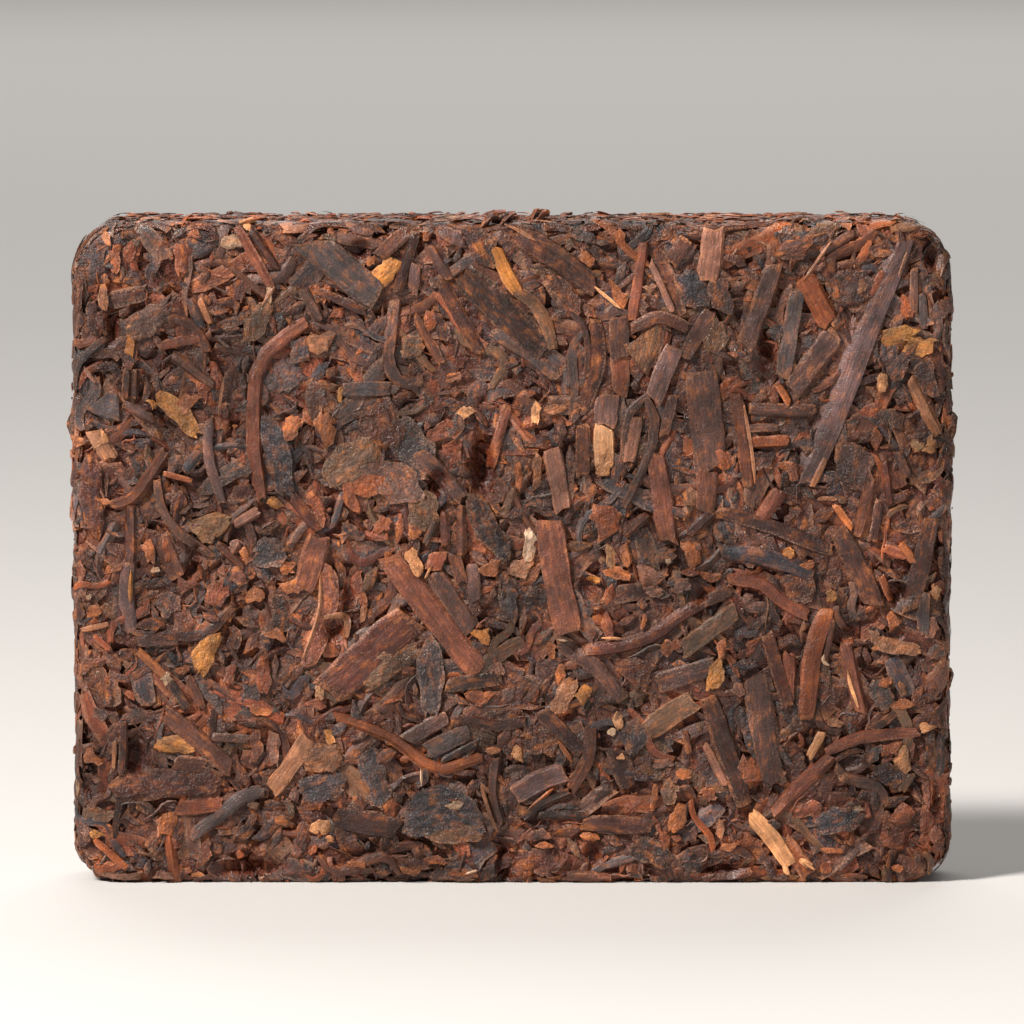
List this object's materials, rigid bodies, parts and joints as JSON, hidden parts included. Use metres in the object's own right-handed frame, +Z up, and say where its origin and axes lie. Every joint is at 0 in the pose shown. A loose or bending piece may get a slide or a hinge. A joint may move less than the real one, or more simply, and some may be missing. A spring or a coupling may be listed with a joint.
{
  "type": "pu erh tea brick",
  "caption": "Small rectangular brick of dark fermented tea, pressed from stems, split stalks and leaves, standing on its long edge.",
  "frame": {"origin": "middle of the flat base of the brick as it stands on its long edge", "axes": "+X along the brick's length, -Y out of the shown face, +Z up along its height"},
  "size_m": [0.1016, 0.0142, 0.0766],
  "materials": {
    "pressed_tea": "rough dry plant fibre with a faint pressed sheen"
  },
  "bodies": {
    "root": {"tea_brick": "pressed_tea"}
  },
  "joints": []
}
